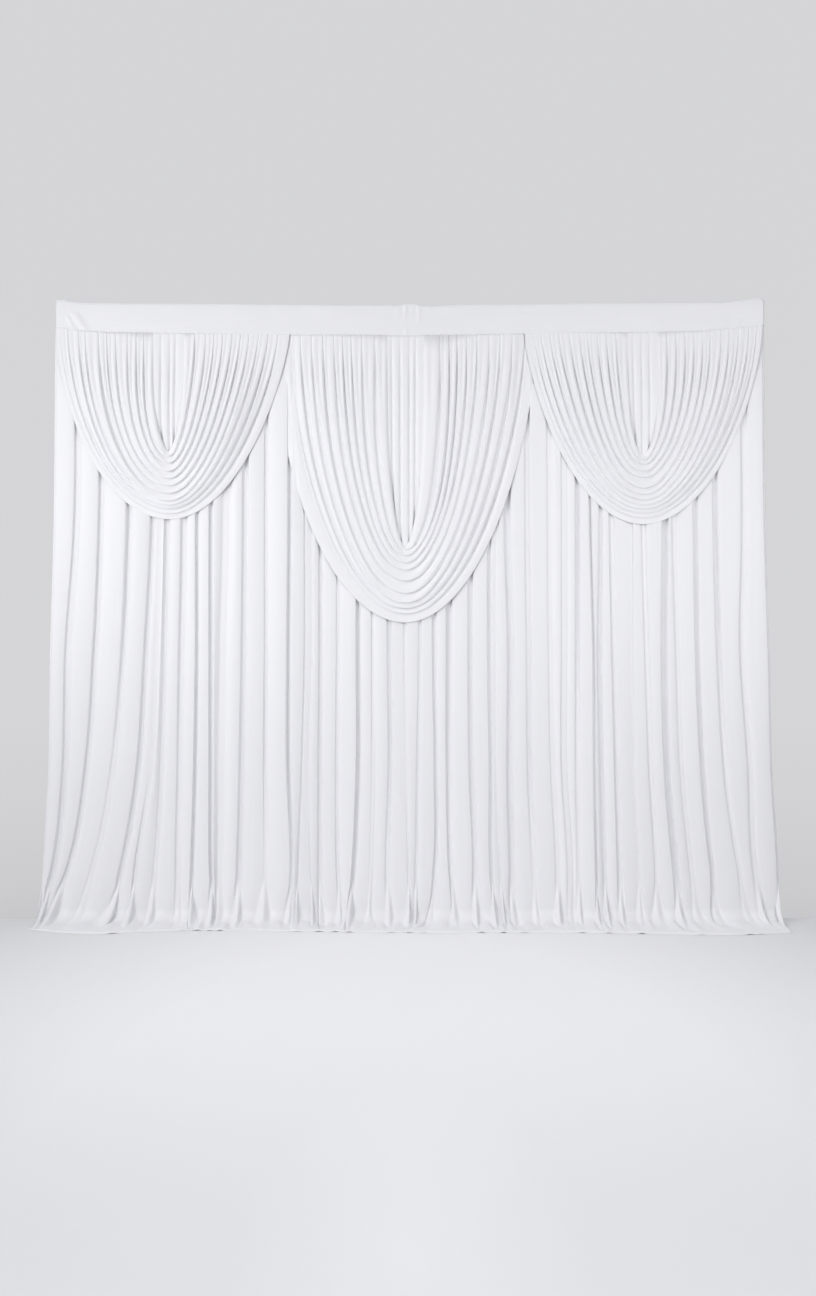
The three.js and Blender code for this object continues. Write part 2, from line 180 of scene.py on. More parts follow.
# One row for each crease from left to right: its place across at six lengths below the seam, its depth at
# three, and the half widths of its left and right side
CURTAIN_CREASES = np.array([
    (-1517, -1530, -1538, -1555, -1560, -1562, 6, 6, 6, 8, 8),
    (-1419, -1453, -1466, -1504, -1553, -1552, 8, 10, 11, 13, 13),
    (-1313, -1334, -1372, -1440, -1530, -1540, 12, 11, 10, 13, 8),
    (-1190, -1211, -1258, -1334, -1414, -1510, 14, 6, 4, 17, 8),
    (-1092, -1117, -1151, -1215, -1272, -1362, 12, 12, 11, 13, 8),
    (-1062, -1075, -1100, -1160, -1180, -1206, 0, 0, 8, 8, 13),
    (-1028, -1037, -1054, -1075, -1097, -1117, 12, 11, 9, 13, 8),
    (-956, -965, -973, -977, -968, -947, 9, 6, 4, 17, 8),
    (-901, -901, -909, -918, -918, -902, 9, 9, 9, 10, 4),
    (-850, -850, -850, -846, -830, -845, 10, 10, 10, 4, 13),
    (-782, -795, -803, -807, -813, -822, 8, 6, 9, 22, 22),
    (-701, -705, -714, -722, -726, -737, 15, 15, 15, 13, 13),
    (-612, -612, -616, -612, -615, -595, 10, 10, 4, 8, 8),
    (-510, -514, -514, -497, -505, -490, 11, 11, 6, 10, 8),
    (-446, -446, -459, -472, -471, -441, 6, 6, 6, 5, 4),
    (-412, -412, -425, -421, -402, -388, 0, 3, 6, 4, 4),
    (-378, -378, -382, -382, -378, -370, 12, 12, 12, 10, 10),
    (-306, -306, -310, -306, -294, -304, 10, 10, 10, 8, 8),
    (-225, -225, -225, -242, -259, -251, 12, 12, 12, 4, 16),
    (-157, -157, -157, -166, -175, -178, 6, 3, 2, 8, 8),
    (-85, -85, -81, -93, -88, -89, 12, 12, 8, 13, 8),
    (-25, -25, -17, -8, -6, -25, 8, 6, 8, 4, 8),
    (42, 42, 34, 28, 19, -10, 8, 8, 8, 8, 5),
    (98, 98, 106, 102, 71, 14, 11, 11, 11, 4, 14),
    (161, 161, 161, 170, 187, 186, 14, 11, 8, 8, 17),
    (259, 259, 263, 278, 279, 283, 12, 12, 10, 13, 8),
    (336, 336, 344, 344, 358, 364, 10, 10, 10, 8, 8),
    (374, 374, 374, 382, 396, 396, 0, 2, 6, 8, 4),
    (416, 429, 425, 433, 434, 461, 16, 16, 16, 15, 13),
    (501, 506, 510, 527, 534, 546, 12, 13, 6, 13, 10),
    (595, 599, 608, 627, 625, 631, 6, 6, 6, 13, 13),
    (654, 654, 654, 676, 671, 667, 3, 3, 2, 13, 13),
    (714, 714, 714, 718, 713, 707, 12, 5, 3, 13, 8),
    (765, 778, 782, 786, 788, 792, 8, 6, 8, 4, 8),
    (812, 807, 816, 824, 830, 833, 11, 11, 11, 10, 8),
    (858, 867, 880, 888, 888, 881, 6, 8, 8, 13, 10),
    (943, 943, 952, 969, 963, 950, 6, 6, 6, 5, 4),
    (990, 1003, 1020, 1041, 1038, 1027, 9, 9, 8, 8, 13),
    (1083, 1079, 1092, 1122, 1142, 1165, 15, 15, 15, 13, 13),
    (1126, 1139, 1156, 1190, 1209, 1229, 3, 3, 3, 13, 13),
    (1211, 1219, 1241, 1275, 1301, 1390, 12, 12, 12, 8, 13),
    (1296, 1309, 1338, 1389, 1430, 1506, 12, 6, 3, 8, 13),
    (1423, 1415, 1449, 1462, 1493, 1530, 6, 5, 4, 17, 13),
    (1513, 1528, 1540, 1559, 1554, 1548, 6, 6, 6, 8, 8),
], float)
CREASE_PLACES = slice(0, 6)
CREASE_DEPTHS = slice(6, 9)
CREASE_FOOT_DEPTH = 8
CREASE_LEFT_HALF = 9
CREASE_RIGHT_HALF = 10

# How far the hem lies in front of the band's middle: across, reach
HEM_REACHES = np.array([
    (-1560, 180),
    (-1400, 238),
    (-1260, 253),
    (-1130, 226),
    (0, 233),
    (900, 243),
    (1370, 268),
    (1550, 233),
], float)
HEM_ACROSS, HEM_FORWARD = HEM_REACHES.T

# How the hem wavers: wave length across, wave length down, height, seed
HEM_WAVES = (70.0, CURTAIN_FALL, 6.0, 19)

# Small tucks that lift the hem off the floor: across, lift, half width
HEM_TUCKS = (
    (-1206, 3, 16), (-931, 2, 10), (-870, 4, 12), (-818, 3, 10), (-777, 4, 10),
    (-462, 2, 13), (-373, 4, 13), (-304, 4, 12), (-249, 4, 10), (-77, 2, 12),
    (-4, 3, 12), (56, 2, 10), (291, 4, 10), (380, 4, 10), (461, 2, 13),
    (699, 3, 12), (805, 3, 12), (938, 4, 13), (1173, 2, 12), (1367, 4, 12),
    (1415, 2, 12),
)
HEM_TUCK_RUN = 34.0
HEM_ROLL = 3.5
HEM_ROLL_RUN = 16.0
HEM_REST = 0.5

# Rows of the curtain's mesh: where each stretch starts along the cloth, and the step of its rows
CURTAIN_ROW_STRETCHES = (
    (0.0, 40.0),
    (360.0, 60.0),
    (1850.0, 40.0),
    (2240.0, 12.0),
    (2440.0, 6.0),
    (2620.0, 4.0),
)

# Turned side edges of the curtain: inwards and back
EDGE_TURNS = ((0.5, 5.0), (3.0, 9.0), (9.0, 11.0), (18.0, 11.5))

# Soft unevenness of the cloth: wave length across, wave length down, height, seed
CURTAIN_WAVES = (
    (150.0, 2600.0, 2.0, 3),
    (58.0, 2400.0, 1.3, 5),
    (22.0, 2100.0, 0.35, 7),
)
FOOT_WAVES = (
    (80.0, 120.0, 2.5, 15),
    (30.0, 60.0, 1.0, 17),
)

# Swags: each hangs from the seam in nested folds round a throat and lies back on the curtain at its edge
SWAG_SEAM_DEPTH = -14.6
SWAG_SEAM_TUCK = 2.0
SWAG_ROUND = 2.0
SWAG_ROUND_STEPS = 180
SWAG_POWER_FADE = 3.0
SWAG_BELLY = 2.0
SWAG_BELLY_POWER = 3.0
SWAG_EDGE_BACK_SHARE = 1.15
SWAG_EDGE_FROM = 0.6
SWAG_CORNER_FROM = 0.78
SWAG_CORNER_TO = 0.92
SWAG_THROAT_RECESS = 3.0

# How far their folds stand out, at most and as a share of a fold's width, and how pleats open below the seam
SWAG_RELIEF = 7.0
SWAG_PITCH_SHARE = 0.19
SWAG_STRENGTH = 0.9
SWAG_STRENGTH_VARIES = 0.25
SWAG_PLEAT_SHARE = 0.25
SWAG_PLEAT_DROP = 220.0

# A fold's section on the sides of a swag: slightly crowned, between valleys that widen below the seam
SWAG_CROWN = 0.45
SWAG_VALLEY_AT_SEAM = 0.10
SWAG_VALLEY = 0.32
SWAG_VALLEY_FLOOR = 0.3
SWAG_VALLEY_DROP = 600.0

# Its section at the bottom, where it droops in a lip over the next fold
SWAG_LOW_SHARE = 1.4
SWAG_LOW_POWER = 16.0
SWAG_LIP_AT = 0.95
SWAG_LIP_POWER = 1.2
SWAG_OVERLAP = 0.03
SWAG_DROOP_ANGLE = 0.35

# A finer crease along each fold, deep near the seam and coming and going below
SWAG_SPLIT = 0.12
SWAG_SPLIT_AT = 0.5
SWAG_SPLIT_HALF = 0.14
SWAG_SPLIT_STRAYS = 0.2
SWAG_SPLIT_SHARPNESS = 2.0
SWAG_SEAM_SPLIT = 0.8
SWAG_SEAM_SPLIT_FROM = 80.0
SWAG_SEAM_SPLIT_TO = 420.0

# The last fold, which is flatter than the rest and rounded along the swag's edge
SWAG_RIM = 1.0
SWAG_RIM_SHARE = 0.35
SWAG_RIM_AT = 0.6
SWAG_RIM_HALF = 0.25

# Steps of the mesh from a fold's upper crease to its lower one
SWAG_FOLD_STEPS = (
    0.0, 0.05, 0.09, 0.13, 0.17, 0.21, 0.26, 0.34, 0.42, 0.5, 0.58, 0.66, 0.74, 0.79, 0.83, 0.87, 0.91, 0.95,
)

# Unevenness along the folds: step from one fold to the next in wave lengths, wave length in radians, seed
SWAG_WOBBLE = 0.05
WOBBLE_WAVES = (1.46, 1.2, 0)
STRENGTH_WAVES = (3.7, 1.4, 20)
SPLIT_PLACE_WAVES = (5.3, 1.1, 40)
SPLIT_DEPTH_WAVES = (4.1, 0.6, 60)

# The upright pleats seen inside a swag's throat: they hang behind its innermost fold, whose edge turns back
THROAT_BACK = 3.0
THROAT_TIP_BACK = 7.0
THROAT_TIP_FROM = 0.55
THROAT_RIM = 7.0
THROAT_RIM_SHARE = 0.3
THROAT_SIDE = 14.0
THROAT_NARROWING = 0.1
THROAT_BELOW = 20.0
THROAT_DEPTH = 8.0
THROAT_HALF = 12.0
THROAT_PLEAT_POWER = 1.5
THROAT_ROWS = 60
THROAT_STEP = 2.0

# A swag's creases, from the throat to the lowest edge: how far each stands at the seam to the left and to
# the right of the throat, and how far below the seam it hangs in the middle. The powers, for the innermost
# and the outermost crease, say how far down each arm hangs before it turns inwards.
SWAGS = {
    "swag_left": {
        "throat": -1020.0,
        "corner_tuck": 0.0,
        "reach": 25.0,
        "left_powers": (3.9, 1.72),
        "right_powers": (1.9, 1.32),
        "throat_power": 3.2,
        "throat_round": 1.4,
        "seed": 11,
        "throat_pleats": (-34, 4, 28),
        "creases": (
            (66, 62, 501), (106, 112, 523), (138, 156, 550), (174, 191, 587), (225, 229, 616),
            (263, 268, 648), (297, 304, 678), (355, 340, 710), (382, 380, 728), (429, 421, 743),
            (463, 463, 763), (480, 510, 787),
        ),
    },
    "swag_centre": {
        "throat": -21.0,
        "corner_tuck": 8.0,
        "reach": 17.0,
        "left_powers": (2.7, 1.75),
        "right_powers": (4.2, 1.6),
        "throat_power": 3.0,
        "throat_round": 1.6,
        "seed": 12,
        "throat_pleats": (-56, -20, 20, 46),
        "creases": (
            (74, 78, 898), (127, 150, 906), (181, 188, 930), (227, 222, 962), (263, 262, 992),
            (300, 308, 1037), (346, 359, 1090), (395, 406, 1131), (442, 457, 1154), (488, 512, 1176),
            (565, 561, 1217),
        ),
    },
    "swag_right": {
        "throat": 984.0,
        "corner_tuck": 0.0,
        "reach": 25.0,
        "left_powers": (2.4, 1.38),
        "right_powers": (3.0, 1.58),
        "throat_power": 3.2,
        "throat_round": 2.2,
        "seed": 13,
        "throat_pleats": (-38, -2, 32),
        "creases": (
            (60, 64, 514), (110, 106, 540), (150, 144, 560), (189, 183, 590), (230, 221, 618),
            (263, 259, 662), (306, 289, 688), (352, 336, 712), (390, 370, 732), (428, 410, 750),
            (458, 455, 766), (478, 488, 784), (498, 510, 812),
        ),
    },
}

# Seam stitches
STITCH_PITCH = 5.0
STITCH_LENGTH = 3.2
STITCH_RADIUS = 0.35
STITCH_SIDES = 6
STITCH_RISE = 11.0
STITCH_END_GAP = 4.0
STITCH_LINE_POINTS = 600

# Colour ramps of the knit, whose faint streaks are partly uneven tone and partly painted shade of fine
# creases, and of the thread: position, red, green, blue
KNIT_TONE_AND_PAINTED_SHADE_COLOURS = (
    (0.3, 0.798, 0.798, 0.828),
    (0.7, 0.812, 0.811, 0.838),
)
THREAD_COLOURS = (
    (0.0, 0.80, 0.80, 0.82),
    (1.0, 0.88, 0.88, 0.90),
)

# Camera and floor
CAMERA_PLACE = (-8.5, -5100.0, -1464.0)
CAMERA_LENS = 33.33
CAMERA_SENSOR = 36.0
FLOOR_BACK = 35.0
FLOOR_FRONT = -9000.0
FLOOR_HALF_WIDTH = 9000.0
# Where the painted pool of light on the floor lies, and its half width and half depth
FLOOR_PAINTED_POOL_PLACE = (0.0, -2800.0)
FLOOR_PAINTED_POOL_HALF_WIDTH = 2000.0
FLOOR_PAINTED_POOL_HALF_DEPTH = 5200.0

# The floor's colour, a painted pool of light: lighter towards the middle of a wide oval and darker towards
# its rim. Share of the way in from the rim, grey
FLOOR_PAINTED_LIGHT_GREYS = (
    (0.0, 0.70),
    (0.1, 0.74),
    (0.36, 0.81),
    (0.52, 0.855),
    (0.82, 0.865),
    (1.0, 0.93),
)
COOL_TINT = 1.02

# Soft light from all round: its colour, its strength from the front and from the back, and the sines of the
# way towards the back between which it changes
ROOM_LIGHT_COLOUR = (0.94, 0.96, 1.0)
ROOM_LIGHT_FRONT = 0.10
ROOM_LIGHT_BACK = 0.70
ROOM_LIGHT_FROM = -0.2
ROOM_LIGHT_TO = 0.3

# Soft distant lights: name, degrees to the left of the front, degrees up, degrees of softness, strength
SUNS = (
    ("key", 50.0, 28.0, 40.0, 0.82),
    ("top", 0.0, 72.0, 60.0, 0.62),
)

# Soft boxes beside and above the camera's view: name, place, aim, side, watts
SOFT_BOXES = (
    ("left", (-2600.0, -2800.0, -470.0), (-300.0, 0.0, -850.0), 1800.0, 23.8),
    ("right", (2600.0, -2800.0, -580.0), (300.0, 0.0, -900.0), 1800.0, 19.2),
    ("near_floor", (0.0, -4700.0, 800.0), (0.0, -4700.0, -2620.0), 2500.0, 18.0),
)
SOFT_BOX_SPREAD = math.radians(110.0)

# What shows behind the curtain, darker towards the floor as painted shade where the wall meets it: the sine
# of the view's slope, and the grey there
BACKDROP_GREYS_WITH_PAINTED_SHADE = (
    (-0.225, 0.550),
    (-0.190, 0.600),
    (-0.120, 0.645),
    (-0.050, 0.670),
    (0.300, 0.665),
)


# Curves and waves

def soft_step(share):
    """A share from 0 to 1, with a gentle start and end."""
    return share * share * (3 - 2 * share)


def blend(start, end, share):
    """A value between two, at a share of the way."""
    return start + (end - start) * share


def ease(value, low, high):
    """0 below low, 1 above high, and a soft step between."""
    return soft_step(np.clip((value - low) / (high - low), 0.0, 1.0))


def smooth_through(stations, values, at):
    """A smooth curve through values at rising stations."""
    stations = np.asarray(stations, float)
    values = np.asarray(values, float)
    at = np.clip(at, stations[0], stations[-1])
    slopes = np.gradient(values, stations)
    index = np.clip(np.searchsorted(stations, at) - 1, 0, len(stations) - 2)
    span = stations[index + 1] - stations[index]
    t = (at - stations[index]) / span
    rise = values[index + 1] - values[index]
    start = slopes[index] * span
    end = slopes[index + 1] * span
    return values[index] + rise * soft_step(t) + start * t * (1 - t) ** 2 - end * t * t * (1 - t)


def soft_waves(across, down, length_across, length_down, seed):
    """Soft random waves from about -1 to 1, always the same for one seed."""
    lattice = np.random.default_rng(seed).uniform(-1.0, 1.0, (WAVE_CELLS, WAVE_CELLS))
    u = np.asarray(across, float) / length_across + WAVE_OFFSET
    v = np.asarray(down, float) / length_down + WAVE_OFFSET
    column = np.floor(u).astype(int)
    row = np.floor(v).astype(int)
    s = soft_step(u - column)
    t = soft_step(v - row)
    here = lattice[row % WAVE_CELLS, column % WAVE_CELLS]
    right = lattice[row % WAVE_CELLS, (column + 1) % WAVE_CELLS]
    below = lattice[(row + 1) % WAVE_CELLS, column % WAVE_CELLS]
    beyond = lattice[(row + 1) % WAVE_CELLS, (column + 1) % WAVE_CELLS]
    return (here * (1 - s) + right * s) * (1 - t) + (below * (1 - s) + beyond * s) * t


def uneven_lift(across, down, waves):
    """How far soft waves lift a cloth, from their two lengths, height and seed."""
    length_across, length_down, height, seed = waves
    return height * soft_waves(across, down, length_across, length_down, seed)


def seam_height(across):
    """The height of the band's seam, from which the curtain and the swags hang."""
    return np.interp(across, BAND_ACROSS, BAND_SEAMS)


def gather_opening(drop):
    """How far gathered folds have opened at a drop below the seam, from a small share to 1."""
    return blend(GATHER_SHARE, 1.0, ease(drop, 0.0, GATHER_DROP))


# Objects and meshes

def place_object(name, data):
    """A new object in the scene, at the origin."""
    placed = bpy.data.objects.new(name, data)
    bpy.context.scene.collection.objects.link(placed)
    return placed


def points_at(across, depth, height):
    """Points from their three places."""
    return np.stack(np.broadcast_arrays(across, depth, height), axis=-1)


def new_mesh(name, points, edges=(), faces=()):
    """A new mesh over points in millimetres."""
    mesh = bpy.data.meshes.new(name)
    mesh.from_pydata((np.array(points) * METRE).tolist(), edges, faces)
    return mesh


def quad_corners(grid):
    """The corners of each cell of a grid: top left, bottom left, bottom right and top right."""
    return grid[:-1, :-1], grid[1:, :-1], grid[1:, 1:], grid[:-1, 1:]


def grid_mesh(name, grid, closed=False):
    """A mesh of quads over a grid of points in millimetres: rows down, columns to the right.

    Its UV map gives the lengths along the cloth in metres. A closed grid's last column joins its first.
    """
    rows, columns, _ = grid.shape
    numbers = np.arange(rows * columns).reshape(rows, columns)
    if closed:
        numbers = np.concatenate([numbers, numbers[:, :1]], axis=1)
    faces = np.stack(quad_corners(numbers), axis=-1).reshape(-1, 4)
    mesh = new_mesh(name, grid.reshape(-1, 3), faces=faces.tolist())
    mesh.polygons.foreach_set("use_smooth", [True] * len(mesh.polygons))

    around = np.concatenate([grid, grid[:, :1]], axis=1) if closed else grid
    across = np.linalg.norm(np.diff(around, axis=1), axis=2).mean(axis=0)
    along = np.linalg.norm(np.diff(around, axis=0), axis=2).mean(axis=1)
    u = np.concatenate([[0.0], np.cumsum(across)]) * METRE
    v = np.concatenate([[0.0], np.cumsum(along)]) * METRE
    places = np.stack(np.broadcast_arrays(u[None, :], -v[:, None]), axis=-1)
    loops = np.stack(quad_corners(places), axis=2)
    layer = mesh.uv_layers.new(name="cloth")
    layer.data.foreach_set("uv", loops.reshape(-1))
    mesh.update()
    return mesh


def joined_mesh(name, parts):
    """One mesh that holds several, with their UV maps."""
    whole = bmesh.new()
    for part in parts:
        whole.from_mesh(part)
    mesh = bpy.data.meshes.new(name)
    whole.to_mesh(mesh)
    whole.free()
    return mesh


def cloth_object(name, mesh, material, thickness=None):
    """The finished cloth, with its thickness behind the modelled face where one is given."""
    piece = place_object(name, mesh)
    mesh.materials.append(material)
    if thickness:
        shell = piece.modifiers.new("thickness", "SOLIDIFY")
        shell.thickness = thickness * METRE
        shell.offset = -1.0
    return piece


# Curtain

def foot_path(share, weight):
    """How far forward, how high and how tilted the cloth is, at a share of its way from the foot's start.

    It turns from the curtain's lean to a slope, runs straight on, and turns flat close to the floor. Ridges,
    of weight 0, go straight down and turn sharply. Creases, of weight about 1, slope forward and turn softly.
    """
    slope = blend(CURTAIN_LEAN, CREASE_SLOPE, weight)
    bend = blend(FOOT_RIDGE_BEND, FOOT_CREASE_BEND, np.clip(weight, 0.0, 1.0))
    opening = FOOT_OPENING_RADIUS * (slope - CURTAIN_LEAN)
    opening_drop = FOOT_OPENING_RADIUS * (np.sin(slope) - math.sin(CURTAIN_LEAN))
    bend_drop = bend * (1 - np.sin(slope))
    straight = (FOOT_RISE - opening_drop - bend_drop) / np.cos(slope)
    length = share * (opening + straight + bend * (math.pi / 2 - slope))
    first = CURTAIN_LEAN + np.minimum(length, opening) / FOOT_OPENING_RADIUS
    sloped = np.clip(length - opening, 0.0, straight)
    second = slope + np.maximum(length - opening - straight, 0.0) / bend
    forward = FOOT_OPENING_RADIUS * (math.cos(CURTAIN_LEAN) - np.cos(first)) + sloped * np.sin(slope)
    forward = forward + bend * (np.cos(slope) - np.cos(second))
    fallen = FOOT_OPENING_RADIUS * (np.sin(first) - math.sin(CURTAIN_LEAN)) + sloped * np.cos(slope)
    fallen = fallen + bend * (np.sin(second) - np.sin(slope))
    return forward, FOOT_RISE - fallen, np.where(length < opening, first, second)


def curtain_points(across, fall, lift, weight):
    """Points on the curtain: its path down, forward and over the floor, its folds lifted off it."""
    seam = seam_height(across) - SEAM_GAP
    share = np.clip(fall / CURTAIN_FALL, 0.0, 1.0)
    lean = np.clip((fall - CURTAIN_FALL) / CURTAIN_LEAN_RADIUS, 0.0, CURTAIN_LEAN)
    on_foot = np.clip((fall - FOOT_START) / FOOT_LENGTH, 0.0, 1.0)
    on_floor = np.clip((fall - FLOOR_START) / CURTAIN_FLOOR_RUN, 0.0, 1.0)
    opening = gather_opening(fall)
    fallen = (opening - GATHER_SHARE) / (1 - GATHER_SHARE)
    back = blend(CURTAIN_TOP_BACK, CURTAIN_FULL_BACK, fallen)
    forward, above_floor, tilt = foot_path(on_foot, weight)
    stands_out = (CURTAIN_RELIEF + lift * np.cos(tilt)) * opening
    depth = back - stands_out - CURTAIN_LEAN_RADIUS * (1 - np.cos(lean)) - forward
    hem = uneven_lift(across, on_floor, HEM_WAVES) - smooth_through(HEM_ACROSS, HEM_FORWARD, across)
    depth = blend(depth, hem, on_floor)
    down = CURTAIN_LEAN_RADIUS * np.sin(lean) + FOOT_RISE - above_floor
    puff = (FOOT_PUFF + lift) * (np.sin(tilt) - math.sin(CURTAIN_LEAN)) * (1 - on_floor)
    height = blend(seam, LEAN_TOP, share) - down + puff
    return points_at(across, depth, height)


def curtain_rows():
    """Lengths along the cloth at which the mesh has a row."""
    starts = [start for start, _ in CURTAIN_ROW_STRETCHES] + [CURTAIN_HEM_FALL]
    rows = []
    for (start, step), end in zip(CURTAIN_ROW_STRETCHES, starts[1:]):
        count = max(1, round((end - start) / step))
        rows.extend(np.linspace(start, end, count, endpoint=False))
    return np.array(rows + [CURTAIN_HEM_FALL])


def crease_places(fall):
    """Where each crease stands across the curtain and how deep it is, at lengths along the cloth."""
    places = []
    depths = []
    for row in CURTAIN_CREASES:
        top = row[0] * CURTAIN_TOP_NARROWING
        places.append(smooth_through(CREASE_FALLS, (top, *row[CREASE_PLACES]), fall))
        deep = CREASE_DEPTH_SHARE * row[CREASE_DEPTHS]
        depths.append(smooth_through(DEPTH_FALLS, (deep[0], *deep, deep[-1]), fall))
    return np.array(places), np.maximum(np.array(depths), 0.0)


def crease_openings(fall, deep):
    """How far each crease has opened on the foot, and the shares of its two panels that it takes there."""
    chance = np.random.default_rng(TONGUE_SEED)
    late = chance.uniform(-TONGUE_START_VARIES, TONGUE_START_VARIES, len(deep))
    starts = FOOT_START + FOOT_LENGTH * (TONGUE_LATEST * (1 - deep) + late)[:, None]
    opened = np.clip((fall - starts) / (FLOOR_START - starts), 0.0, 1.0)
    right_shares, left_shares = TONGUE_SHARE * chance.uniform(TONGUE_NARROWEST, 1.0, (2, len(deep)))
    return opened, right_shares, left_shares


def trough_side(place, half, depth, shoulder, weight):
    """One side of a trough, from its crease outwards: rows of place across, lift and weight on the foot."""
    side = []
    for share in TROUGH_STEPS:
        wall = ease(share, TROUGH_FLOOR, 1.0)
        lift = shoulder * wall - depth * (1 - wall)
        side.append((place + half * share, lift, weight * (1 - ease(share, 0.0, 1.0))))
    return side


def curtain_lines(fall):
    """Lines down the curtain from left to right: places across, lifts and weights on the foot.

    Each crease is a trough with its own two sides, and each fold between two creases a nearly flat panel.
    """
    places, depths = crease_places(fall)
    last = len(CURTAIN_CREASES) - 1
    chance = np.random.default_rng(CREASE_SEED)
    uneven = 1 + chance.uniform(-CREASE_SLOPE_VARIES, CREASE_SLOPE_VARIES, last + 1)
    deep = np.minimum(CURTAIN_CREASES[:, CREASE_FOOT_DEPTH] / CREASE_FULL_DEPTH, 1.0)
    weights = uneven * deep
    tilts = chance.uniform(-PANEL_TILT, PANEL_TILT, last)
    set_out = chance.uniform(-PANEL_SET_OUT, PANEL_SET_OUT, last)
    opened, right_shares, left_shares = crease_openings(fall, deep)

    lines = []
    for index in range(last):
        here = places[index]
        there = places[index + 1]
        spacing = there - here
        widest = spacing * CREASE_WIDEST_SHARE
        right = np.minimum(CREASE_WIDTH_SHARE * CURTAIN_CREASES[index, CREASE_RIGHT_HALF], widest)
        left = np.minimum(CREASE_WIDTH_SHARE * CURTAIN_CREASES[index + 1, CREASE_LEFT_HALF], widest)
        right = blend(right, spacing * right_shares[index], opened[index])
        left = blend(left, spacing * left_shares[index + 1], opened[index + 1])
        left_shoulder = set_out[index] - tilts[index]
        right_shoulder = set_out[index] + tilts[index]
        lines.append((here, -depths[index], weights[index]))
        lines += trough_side(here, right, depths[index], left_shoulder, weights[index])
        for share in PANEL_STEPS:
            sideways = 2 * share - 1
            crown = PANEL_CROWN * spacing * (1 - sideways ** 2)
            lift = crown + set_out[index] + tilts[index] * sideways
            lines.append((here + right + (spacing - right - left) * share, lift, 0.0))
        lines += reversed(trough_side(there, -left, depths[index + 1], right_shoulder, weights[index + 1]))
    lines.append((places[last], -depths[last], weights[last]))
    columns, lifts, foot_weights = zip(*lines)
    return np.array(columns).T, np.array(lifts).T, np.array(foot_weights)[None, :]


def hem_tuck_lift(across):
    """How far small tucks lift the hem off the floor."""
    lift = np.zeros_like(across)
    for place, height, half in HEM_TUCKS:
        lift += height * np.exp(-((across - place) / half) ** 2)
    return lift


def curtain_grid():
    """The curtain's points: its folds, the ripples of its foot, and the hem that lies on the floor."""
    rows = curtain_rows()
    across, lift, weight = curtain_lines(rows)
    fall = np.broadcast_to(rows[:, None], across.shape)
    for waves in CURTAIN_WAVES:
        lift = lift + uneven_lift(across, fall, waves)
    grid = curtain_points(across, fall, lift, weight)

    on_floor = ease(fall, FOOT_START, FLOOR_START)
    for length_across, length_down, height, seed in FOOT_WAVES:
        ripple = 1 + soft_waves(across, fall, length_across, length_down, seed)
        grid[:, :, 2] += on_floor * height * ripple
    to_edge = np.clip((fall - CURTAIN_HEM_FALL) / HEM_ROLL_RUN + 1, 0.0, 1.0)
    tuck = ease(fall, CURTAIN_HEM_FALL - HEM_TUCK_RUN, CURTAIN_HEM_FALL)
    floor = FLOOR_HEIGHT + HEM_REST
    settled = blend(floor, grid[:, :, 2], 1 - to_edge ** 2)
    grid[:, :, 2] = settled + HEM_ROLL * np.sin(math.pi * to_edge) + tuck * hem_tuck_lift(across)
    return np.maximum(grid, (-np.inf, -np.inf, floor))


def with_turned_edges(grid):
    """The same grid with its two side edges turned back behind it."""
    left = [grid[:, :1] + np.array((inward, back, 0.0)) for inward, back in reversed(EDGE_TURNS)]
    right = [grid[:, -1:] + np.array((-inward, back, 0.0)) for inward, back in EDGE_TURNS]
    return np.concatenate([*left, grid, *right], axis=1)


# Swags

def swag_curves(swag):
    """Each crease's curve from its left end down and up to its right end, one column for each crease."""
    turn = np.linspace(0.0, math.pi, SWAG_ROUND_STEPS + 1)[:, None]
    left, right, drops = np.array(swag["creases"], float).T[:, None, :]
    share = np.linspace(0.0, 1.0, drops.shape[1])[None, :]
    on_left = turn <= math.pi / 2
    width = np.where(on_left, -left, right)
    inner_power, outer_power = np.where(on_left[:, :, None], swag["left_powers"], swag["right_powers"]).T
    power = blend(outer_power.T, inner_power.T, (1 - share) ** SWAG_POWER_FADE)
    power[:, 0] = swag["throat_power"]
    rounding = np.where(share > 0.0, SWAG_ROUND, swag["throat_round"])
    sideways = np.abs(np.cos(turn)) ** (2 / rounding)
    hanging = np.clip(np.sin(turn), 0.0, 1.0) ** (2 / power)
    across = swag["throat"] + width * sideways
    top = seam_height(swag["throat"] + width) + SWAG_SEAM_TUCK
    bottom = seam_height(swag["throat"]) - drops
    height = blend(top, bottom, hanging)
    return turn, across, height, hanging, hanging * (top - bottom)


def pleat_opening(drop):
    """How far a swag's pleats have opened at a drop below the seam, from a small share to 1."""
    return blend(SWAG_PLEAT_SHARE, 1.0, ease(drop, 0.0, SWAG_PLEAT_DROP))


def fold_waves(swag, number, turn, waves):
    """Soft random waves along a swag's folds, from the step between folds, the wave length and the seed."""
    step, length, seed = waves
    return soft_waves(number * step, turn, 1.0, length, swag["seed"] + seed)


